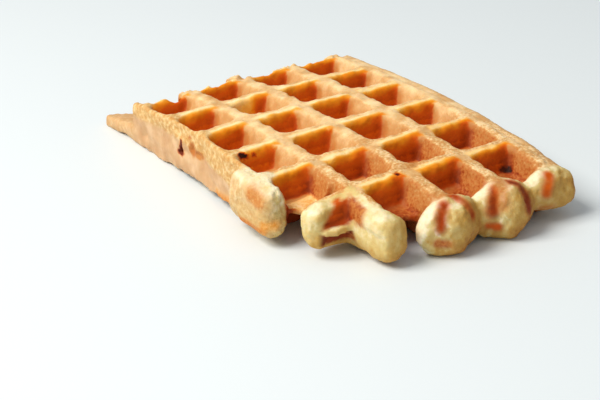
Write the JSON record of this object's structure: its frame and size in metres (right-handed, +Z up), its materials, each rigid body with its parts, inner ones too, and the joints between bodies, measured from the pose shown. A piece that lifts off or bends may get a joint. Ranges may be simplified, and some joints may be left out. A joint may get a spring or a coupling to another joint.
{
  "type": "belgian waffle",
  "caption": "Thick rectangular waffle with deep square pockets on both faces, one torn long side and rounded dough lumps at its ends.",
  "frame": {"origin": "centre of the bounding box's bottom, on the table", "axes": "+Z up, +Y along the waffle's long side towards the end with the thin flap, +X across it from the torn side to the smooth rounded side"},
  "size_m": [0.1108, 0.1864, 0.0249],
  "materials": {
    "crust": "matte baked crust, golden with deeper brown pocket walls and pale dough lumps"
  },
  "bodies": {
    "root": {"waffle": "crust"}
  },
  "joints": []
}
